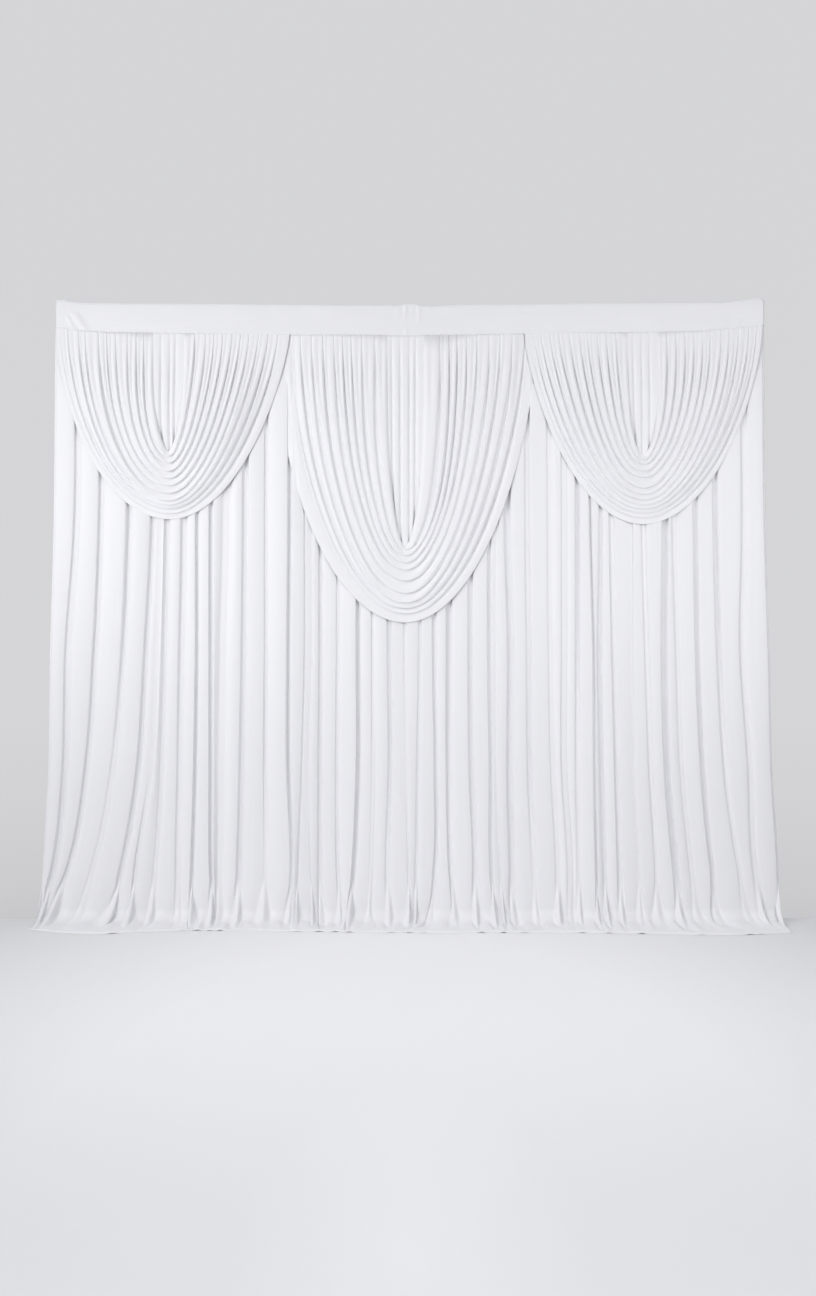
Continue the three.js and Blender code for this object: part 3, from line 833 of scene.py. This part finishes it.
def swag_grid(swag):
    """The swag's points: between each two creases one fold, flat on the sides and drooping in a lip below."""
    turn, across, height, hanging, drop = swag_curves(swag)
    count = across.shape[1]
    numbers = np.arange(count)[None, :]
    held = np.clip(drop / SWAG_PLEAT_DROP, 0.0, 1.0)
    sway = SWAG_WOBBLE * fold_waves(swag, numbers, turn, WOBBLE_WAVES) * held
    sway[:, 0] = 0.0
    curves = {
        "turn": turn[:, 0],
        "low": np.sin(turn[:, 0]) ** SWAG_LOW_POWER,
        "across": across + np.gradient(across, axis=1) * sway,
        "height": height + np.gradient(height, axis=1) * sway,
        "hanging": hanging,
        "drop": drop,
    }
    lines = []
    for index in range(count - 1):
        steps = SWAG_FOLD_STEPS if index < count - 2 else (*SWAG_FOLD_STEPS, 1.0)
        relief = fold_relief(swag, curves, index)
        split = fold_split(swag, curves, index)
        for step in steps:
            fold = relief * fold_section(curves, split, index, step) + fold_rim(swag, index, step)
            lines.append(swag_line(swag, curves, fold, index, step))
    grid = np.stack(lines, axis=1)
    return grid[:, ::-1]


def fold_relief(swag, curves, index):
    """How far a fold stands out of its creases along its length, some folds more than others."""
    spread = np.diff(curves["across"][:, index:index + 2], axis=1)[:, 0]
    fall = np.diff(curves["height"][:, index:index + 2], axis=1)[:, 0]
    uneven = fold_waves(swag, index, curves["turn"], STRENGTH_WAVES)
    strength = SWAG_STRENGTH + SWAG_STRENGTH_VARIES * uneven
    if index == len(swag["creases"]) - 2:
        strength = strength * SWAG_RIM_SHARE
    return np.minimum(SWAG_RELIEF, np.hypot(spread, fall) * SWAG_PITCH_SHARE) * strength


def fold_split(swag, curves, index):
    """The finer crease along a fold: its place between the two creases and its depth."""
    stray = fold_waves(swag, index, curves["turn"], SPLIT_PLACE_WAVES)
    uneven = fold_waves(swag, index, curves["turn"], SPLIT_DEPTH_WAVES)
    comes_and_goes = SWAG_SPLIT * np.clip(SWAG_SPLIT_SHARPNESS * uneven, 0.0, 1.0)
    fades = ease(curves["drop"][:, index], SWAG_SEAM_SPLIT_FROM, SWAG_SEAM_SPLIT_TO)
    return SWAG_SPLIT_AT + SWAG_SPLIT_STRAYS * stray, comes_and_goes + SWAG_SEAM_SPLIT * (1 - fades)


def lip_shares(step):
    """How far a step across a fold has come towards its lip, and how far past it."""
    return min(1.0, step / SWAG_LIP_AT), max(0.0, (step - SWAG_LIP_AT) / (1 - SWAG_LIP_AT))


def fold_section(curves, split, index, step):
    """A fold's section at a step across it: about -1 in its two creases and 1 on top."""
    last_fold = curves["across"].shape[1] - 2
    widened = ease(curves["drop"][:, index], 0.0, SWAG_VALLEY_DROP)
    valley = blend(SWAG_VALLEY_AT_SEAM, SWAG_VALLEY, widened)
    inner = 1 - ease(step, valley * SWAG_VALLEY_FLOOR, valley) if index > 0 else 0.0
    outer = 1 - ease(1 - step, valley * SWAG_VALLEY_FLOOR, valley) if index < last_fold else 0.0
    flat_fold = 1 - SWAG_CROWN * (2 * step - 1) ** 2 - (2 - SWAG_CROWN) * np.maximum(inner, outer)
    to_lip, past_lip = lip_shares(step)
    lip_fold = SWAG_LOW_SHARE * (-1 + 2 * to_lip ** SWAG_LIP_POWER - 2 * past_lip ** 2)
    fold = blend(flat_fold, lip_fold, curves["low"])
    split_place, split_depth = split
    return fold - split_depth * np.exp(-((step - split_place) / SWAG_SPLIT_HALF) ** 2)


def fold_rim(swag, index, step):
    """How far the innermost fold turns back at the throat, or the last fold is rounded along its edge."""
    if index == 0:
        return -THROAT_RIM * max(0.0, 1 - step / THROAT_RIM_SHARE) ** 2
    if index == len(swag["creases"]) - 2:
        return SWAG_RIM * math.exp(-((step - SWAG_RIM_AT) / SWAG_RIM_HALF) ** 2)
    return 0.0


def swag_line(swag, curves, fold, index, step):
    """One line of points along a fold, at a step from its upper crease to its lower one."""
    low = curves["low"]
    to_lip, past_lip = lip_shares(step)
    along = step + SWAG_OVERLAP * low * math.sin(math.pi * to_lip / 2) * (1 - past_lip)

    def between(values):
        return blend(values[:, index], values[:, index + 1], along)

    share = (index + step) / (len(swag["creases"]) - 1)
    across = between(curves["across"])
    belly = SWAG_BELLY * np.clip(between(curves["hanging"]), 0.0, 1.0) ** SWAG_BELLY_POWER * share
    left_edge, right_edge, _ = swag["creases"][-1]
    edge = np.where(across < swag["throat"], left_edge, right_edge)
    corner = ease(np.abs(across - swag["throat"]) / edge, SWAG_CORNER_FROM, SWAG_CORNER_TO)
    stands_out = swag["reach"] * (1 - SWAG_EDGE_BACK_SHARE * ease(share, SWAG_EDGE_FROM, 1.0))
    stands_out = stands_out * gather_opening(between(curves["drop"])) + belly
    recess = SWAG_THROAT_RECESS * (1 - share) * low
    droop = SWAG_DROOP_ANGLE * low
    lift = fold * pleat_opening(curves["drop"][:, index])
    depth = SWAG_SEAM_DEPTH + swag["corner_tuck"] * corner - stands_out + recess - lift * np.cos(droop)
    return points_at(across, depth, between(curves["height"]) - lift * np.sin(droop))


def throat_grid(swag):
    """The upright pleats in the throat, from the seam to just below the innermost fold."""
    left, right, drop = swag["creases"][0]
    count = round((left + right + 2 * THROAT_SIDE) / THROAT_STEP)
    start = np.linspace(-left - THROAT_SIDE, right + THROAT_SIDE, count + 1)[None, :]
    share = np.linspace(0.0, 1.0, THROAT_ROWS + 1)[:, None]
    fallen = share * (drop + THROAT_BELOW)
    across = swag["throat"] + start * (1 - THROAT_NARROWING * share)
    sink = np.zeros_like(start)
    for place in swag["throat_pleats"]:
        away = np.clip(1 - np.abs(start - place) / THROAT_HALF, 0.0, 1.0)
        sink = np.maximum(sink, THROAT_DEPTH * away ** THROAT_PLEAT_POWER)
    behind = THROAT_BACK * ease(fallen, 0.0, SWAG_PLEAT_DROP)
    behind = behind + THROAT_TIP_BACK * ease(share, THROAT_TIP_FROM, 1.0) + sink * pleat_opening(fallen)
    depth = SWAG_SEAM_DEPTH - swag["reach"] * gather_opening(fallen) + behind
    height = seam_height(swag["throat"] + start) + SWAG_SEAM_TUCK - fallen
    return points_at(across, depth, height)


# Heading band

def band_wrinkle_lift(across, height):
    """How far the placed wrinkles stand out of the band's front."""
    lift = np.zeros_like(across)
    for from_across, from_height, to_across, to_height, proud, half in BAND_WRINKLES:
        run_across = to_across - from_across
        run_height = to_height - from_height
        length = math.hypot(run_across, run_height)
        along = ((across - from_across) * run_across + (height - from_height) * run_height) / length ** 2
        away = ((across - from_across) * run_height - (height - from_height) * run_across) / length
        from_middle = 2 * np.clip(along, -WRINKLE_RUN_OUT, 1 + WRINKLE_RUN_OUT) - 1
        fade = 1 - (from_middle / (1 + 2 * WRINKLE_RUN_OUT)) ** 2
        lift += proud * fade * np.exp(-(away / half) ** 2)
    return lift


def band_foot_lift(across, height):
    """How far the rolled seam and its puckers stand out of the band's front."""
    above = height - seam_height(across)
    roll = BAND_ROLL * np.exp(-((above - BAND_ROLL_RADIUS) / BAND_ROLL_RADIUS) ** 2)
    return roll + uneven_lift(across, height, BAND_PUCKERS) * np.exp(-above / BAND_PUCKER_RISE)


def band_section(across):
    """The band's closed section: rows of depth and height, from the seam up and over the bar."""
    seam = seam_height(across)
    centre = smooth_through(BAND_ACROSS, BAND_TOPS, across) - BAND_BAR_RADIUS
    section = []
    for step in range(BAND_WALL_STEPS):
        share = (step / BAND_WALL_STEPS) ** BAND_WALL_SPACING
        height = blend(seam, centre, share)
        front = blend(BAND_FRONT_FOOT, -BAND_BAR_RADIUS, share)
        section.append((front - band_foot_lift(across, height), height))
    for step in range(BAND_ARC_STEPS + 1):
        turn = math.pi * (1 - step / BAND_ARC_STEPS)
        section.append((BAND_BAR_RADIUS * math.cos(turn), centre + BAND_BAR_RADIUS * math.sin(turn)))
    for step in range(1, BAND_WALL_STEPS):
        share = step / BAND_WALL_STEPS
        section.append((blend(BAND_BAR_RADIUS, BAND_BACK_FOOT, share), blend(centre, seam, share)))
    for step in range(BAND_FOOT_STEPS):
        share = step / BAND_FOOT_STEPS
        section.append((blend(BAND_BACK_FOOT, BAND_FRONT_FOOT, share), seam))
    return section


def band_grid():
    """The band's points: stations along its length, each a closed section with its wrinkles."""
    left_end = BAND_ACROSS[0]
    right_end = BAND_ACROSS[-1]
    count = round((right_end - left_end) / BAND_STEP)
    across = np.union1d(np.linspace(left_end, right_end, count + 1), BAND_ACROSS)
    seam = seam_height(across)
    end = np.sign(across) * ease(np.abs(across), right_end - BAND_OVERHANG_RUN, right_end)
    lines = []
    for depth, height in band_section(across):
        facing = np.clip(-depth / BAND_BAR_RADIUS, 0.0, 1.0)
        wave = uneven_lift(across, height, BAND_WAVES) * ease(height - seam, BAND_WAVE_FROM, BAND_WAVE_FULL)
        depth = depth - facing * (band_wrinkle_lift(across, height) + wave)
        backness = (depth + BAND_BAR_RADIUS) / (2 * BAND_BAR_RADIUS)
        lines.append(points_at(across + end * BAND_BACK_OVERHANG * backness, depth, height))
    return np.stack(lines, axis=1)


def band_seam_line():
    """Points along the band's front, a little above its rolled seam, where the stitches run."""
    left_end = BAND_ACROSS[0] + STITCH_END_GAP
    right_end = BAND_ACROSS[-1] - STITCH_END_GAP
    across = np.linspace(left_end, right_end, STITCH_LINE_POINTS)
    height = seam_height(across) + STITCH_RISE
    depth = BAND_FRONT_FOOT - band_foot_lift(across, height) - band_wrinkle_lift(across, height)
    return points_at(across, depth, height)


# Nodes

def set_inputs(node, inputs):
    """Give a node's inputs their values, or link them to other nodes' outputs."""
    for name, value in inputs.items():
        if isinstance(value, bpy.types.NodeSocket):
            node.id_data.links.new(value, node.inputs[name])
        else:
            node.inputs[name].default_value = value


def add_node(tree, kind, inputs=None, **settings):
    """The outputs of a new node, which has its settings and inputs."""
    node = tree.nodes.new(kind)
    for name, value in settings.items():
        setattr(node, name, value)
    set_inputs(node, inputs or {})
    return node.outputs


def colour_ramp(tree, place, stops):
    """The colour at a place on a ramp, which has stops of position, red, green and blue."""
    ramp = tree.nodes.new("ShaderNodeValToRGB")
    set_inputs(ramp, {"Fac": place})
    elements = ramp.color_ramp.elements
    while len(elements) < len(stops):
        elements.new(1.0)
    for element, (position, *colour) in zip(elements, stops):
        element.position = position
        element.color = (*colour, 1.0)
    return ramp.outputs["Color"]


def cool_greys(rows):
    """Stops of a colour ramp for greys that are a little cool."""
    return [(position, grey, grey, grey * COOL_TINT) for position, grey in rows]


# Stitches

def stitch_tree(material):
    """Nodes that set short threads end to end along a line, with inputs for pitch, length and radius."""
    tree = bpy.data.node_groups.new("seam_stitches", "GeometryNodeTree")
    tree.interface.new_socket("Line", in_out="INPUT", socket_type="NodeSocketGeometry")
    for label in ("Pitch", "Length", "Radius"):
        tree.interface.new_socket(label, in_out="INPUT", socket_type="NodeSocketFloat")
    tree.interface.new_socket("Stitches", in_out="OUTPUT", socket_type="NodeSocketGeometry")
    given = add_node(tree, "NodeGroupInput")
    curve = add_node(tree, "GeometryNodeMeshToCurve", {"Mesh": given["Line"]})
    spacing = {"Curve": curve["Curve"], "Length": given["Pitch"]}
    spaced = add_node(tree, "GeometryNodeResampleCurve", spacing, mode="LENGTH")
    points = add_node(tree, "GeometryNodeCurveToPoints", {"Curve": spaced["Curve"]}, mode="EVALUATED")
    facing = add_node(tree, "FunctionNodeAlignRotationToVector", {"Vector": points["Tangent"]}, axis="Z")
    thread = add_node(tree, "GeometryNodeMeshCylinder", {
        "Vertices": STITCH_SIDES,
        "Radius": given["Radius"],
        "Depth": given["Length"],
    })
    placed = add_node(tree, "GeometryNodeInstanceOnPoints", {
        "Points": points["Points"],
        "Instance": thread["Mesh"],
        "Rotation": facing["Rotation"],
    })
    real = add_node(tree, "GeometryNodeRealizeInstances", {"Geometry": placed["Instances"]})
    finish = add_node(tree, "GeometryNodeSetMaterial", {"Geometry": real["Geometry"], "Material": material})
    add_node(tree, "NodeGroupOutput", {"Stitches": finish["Geometry"]})
    return tree


def seam_stitches(line, material):
    """The row of stitches along the band's seam, as a plain mesh."""
    edges = [(index, index + 1) for index in range(len(line) - 1)]
    carrier = place_object("seam_line", new_mesh("seam_line", line, edges))
    modifier = carrier.modifiers.new("stitches", "NODES")
    modifier.node_group = stitch_tree(material)
    sizes = {"Pitch": STITCH_PITCH, "Length": STITCH_LENGTH, "Radius": STITCH_RADIUS}
    for item in modifier.node_group.interface.items_tree:
        if item.name in sizes:
            modifier[item.identifier] = sizes[item.name] * METRE
    ready = carrier.evaluated_get(bpy.context.evaluated_depsgraph_get())
    mesh = bpy.data.meshes.new_from_object(ready)
    mesh.name = "seam_stitches"
    bpy.data.objects.remove(carrier)
    return place_object("seam_stitches", mesh)


# Materials

def new_material(name):
    """A new material, its node tree and its shader."""
    material = bpy.data.materials.new(name)
    material.use_nodes = True
    return material, material.node_tree, material.node_tree.nodes["Principled BSDF"]


def white_knit():
    """White satin knit: fine ribs and courses, faint streaks of uneven colour and painted shade, and a soft
    sheen.
    """
    material, tree, shader = new_material("white_knit")
    place = add_node(tree, "ShaderNodeUVMap", uv_map="cloth")["UV"]
    rib_waves = {"Vector": place, "Scale": 190.0, "Distortion": 0.6}
    course_waves = {"Vector": place, "Scale": 150.0, "Distortion": 0.6}
    ribs = add_node(tree, "ShaderNodeTexWave", rib_waves, bands_direction="X")
    courses = add_node(tree, "ShaderNodeTexWave", course_waves, bands_direction="Y")
    knit = add_node(tree, "ShaderNodeMath", {0: ribs["Fac"], 1: courses["Fac"]}, operation="MULTIPLY")
    # Faint streaks along the cloth: uneven tone and painted shade of fine creases, which also give a soft
    # bump and vary the gloss
    stretch = add_node(tree, "ShaderNodeMapping", {"Vector": place, "Scale": (90.0, 0.8, 1.0)})
    noise = {"Vector": stretch["Vector"], "Scale": 1.0, "Detail": 3.0}
    streaks = add_node(tree, "ShaderNodeTexNoise", noise)["Fac"]
    soft = add_node(tree, "ShaderNodeBump", {"Strength": 0.10, "Distance": 0.0012, "Height": streaks})
    fine = add_node(tree, "ShaderNodeBump", {
        "Strength": 0.25,
        "Distance": 0.0004,
        "Height": knit["Value"],
        "Normal": soft["Normal"],
    })
    gloss = add_node(tree, "ShaderNodeMapRange", {"Value": streaks, "To Min": 0.40, "To Max": 0.52})
    set_inputs(shader, {
        "Base Color": colour_ramp(tree, streaks, KNIT_TONE_AND_PAINTED_SHADE_COLOURS),
        "Roughness": gloss["Result"],
        "Normal": fine["Normal"],
        "Specular IOR Level": 0.4,
        "Sheen Weight": 0.12,
        "Sheen Roughness": 0.4,
    })
    return material


def sewing_thread():
    """White thread with a faint twist."""
    material, tree, shader = new_material("sewing_thread")
    place = add_node(tree, "ShaderNodeTexCoord")
    waves = {"Vector": place["Object"], "Scale": 500.0}
    twist = add_node(tree, "ShaderNodeTexWave", waves, bands_direction="DIAGONAL")
    set_inputs(shader, {"Base Color": colour_ramp(tree, twist["Fac"], THREAD_COLOURS), "Roughness": 0.5})
    return material


def floor_paint_with_painted_light():
    """Matt pale paint with a painted pool of light: darker away from the middle."""
    material, tree, shader = new_material("pale_floor_with_painted_light")
    middle = Vector((*FLOOR_PAINTED_POOL_PLACE, FLOOR_HEIGHT)) * METRE
    size = (FLOOR_PAINTED_POOL_HALF_WIDTH * METRE, FLOOR_PAINTED_POOL_HALF_DEPTH * METRE, 1.0)
    place = add_node(tree, "ShaderNodeTexCoord")
    pool = {"Vector": place["Object"], "Location": middle, "Scale": size}
    oval = add_node(tree, "ShaderNodeMapping", pool, vector_type="TEXTURE")
    # Painted pool of light: the floor's grey rises towards the middle of the oval
    inwards = add_node(tree, "ShaderNodeTexGradient", {"Vector": oval["Vector"]}, gradient_type="SPHERICAL")
    set_inputs(shader, {
        "Base Color": colour_ramp(tree, inwards["Fac"], cool_greys(FLOOR_PAINTED_LIGHT_GREYS)),
        "Roughness": 0.9,
        "Specular IOR Level": 0.1,
    })
    return material


# Surroundings

def floor_with_painted_light_pool():
    """A pale floor with a painted pool of light, which ends behind the curtain."""
    sides = ((-1, FLOOR_FRONT), (1, FLOOR_FRONT), (1, FLOOR_BACK), (-1, FLOOR_BACK))
    corners = [(side * FLOOR_HALF_WIDTH, depth, FLOOR_HEIGHT) for side, depth in sides]
    mesh = new_mesh("pale_floor_with_painted_light", corners, faces=[(0, 1, 2, 3)])
    mesh.materials.append(floor_paint_with_painted_light())
    return place_object("pale_floor_with_painted_light", mesh)


def place_camera():
    """The camera, level and looking straight at the back."""
    data = bpy.data.cameras.new("camera")
    data.lens = CAMERA_LENS
    data.sensor_width = CAMERA_SENSOR
    camera = place_object("camera", data)
    camera.location = [value * METRE for value in CAMERA_PLACE]
    camera.rotation_euler = (math.pi / 2, 0.0, 0.0)
    bpy.context.scene.camera = camera


def place_lights():
    """The soft distant lights, and the soft boxes, which the camera doesn't see."""
    for name, left, up, softness, strength in SUNS:
        data = bpy.data.lights.new(name, "SUN")
        data.angle = math.radians(softness)
        data.energy = strength
        light = place_object(name, data)
        light.rotation_euler = (math.pi / 2 - math.radians(up), 0.0, -math.radians(left))
    for name, place, aim, side, watts in SOFT_BOXES:
        data = bpy.data.lights.new(name, "AREA")
        data.size = side * METRE
        data.energy = watts
        data.spread = SOFT_BOX_SPREAD
        light = place_object(name, data)
        light.location = Vector(place) * METRE
        light.rotation_euler = (Vector(aim) - Vector(place)).to_track_quat("-Z", "Y").to_euler()
        light.visible_camera = False


def light_room():
    """The soft light all round, and the grey that shows behind the curtain, with painted shade towards the
    floor.
    """
    world = bpy.data.worlds.new("soft_room")
    world.use_nodes = True
    tree = world.node_tree
    way = add_node(tree, "ShaderNodeTexCoord")
    slope = add_node(tree, "ShaderNodeSeparateXYZ", {"Vector": way["Generated"]})
    level = add_node(tree, "ShaderNodeMapRange", {
        "Value": slope["Y"],
        "From Min": ROOM_LIGHT_FROM,
        "From Max": ROOM_LIGHT_TO,
        "To Min": ROOM_LIGHT_FRONT,
        "To Max": ROOM_LIGHT_BACK,
    })
    room = tree.nodes["Background"]
    set_inputs(room, {"Color": (*ROOM_LIGHT_COLOUR, 1.0), "Strength": level["Result"]})

    # Painted shade: the grey behind the curtain darkens towards the floor
    lowest = BACKDROP_GREYS_WITH_PAINTED_SHADE[0][0]
    highest = BACKDROP_GREYS_WITH_PAINTED_SHADE[-1][0]
    stops = [((sine - lowest) / (highest - lowest), grey) for sine, grey in BACKDROP_GREYS_WITH_PAINTED_SHADE]
    span = {"Value": slope["Z"], "From Min": lowest, "From Max": highest}
    place = add_node(tree, "ShaderNodeMapRange", span)
    grey = colour_ramp(tree, place["Result"], cool_greys(stops))
    seen = add_node(tree, "ShaderNodeBackground", {"Color": grey})
    path = add_node(tree, "ShaderNodeLightPath")
    choice = add_node(tree, "ShaderNodeMixShader", {
        "Fac": path["Is Camera Ray"],
        1: room.outputs["Background"],
        2: seen["Background"],
    })
    set_inputs(tree.nodes["World Output"], {"Surface": choice["Shader"]})
    bpy.context.scene.world = world
    bpy.context.scene.view_settings.view_transform = "Standard"


# Assembly

place_camera()
place_lights()
light_room()
floor_with_painted_light_pool()

knit_cloth = white_knit()
band_mesh = grid_mesh("band_cloth", band_grid(), closed=True)
curtain_mesh = grid_mesh("curtain_cloth", with_turned_edges(curtain_grid()))
pieces = {
    "heading_band": cloth_object("band_cloth", band_mesh, knit_cloth, SHELL_THICKNESS),
    "back_curtain": cloth_object("curtain_cloth", curtain_mesh, knit_cloth),
}
for node, swag in SWAGS.items():
    folds = grid_mesh(f"{node}_folds", swag_grid(swag))
    throat = grid_mesh(f"{node}_throat", throat_grid(swag))
    swag_mesh = joined_mesh(f"{node}_cloth", (folds, throat))
    pieces[node] = cloth_object(f"{node}_cloth", swag_mesh, knit_cloth, SHELL_THICKNESS)

stitches = seam_stitches(band_seam_line(), sewing_thread())

for node, piece in pieces.items():
    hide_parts(node)
    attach(piece, BODY)
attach(stitches, BODY)

bpy.context.view_layer.update()
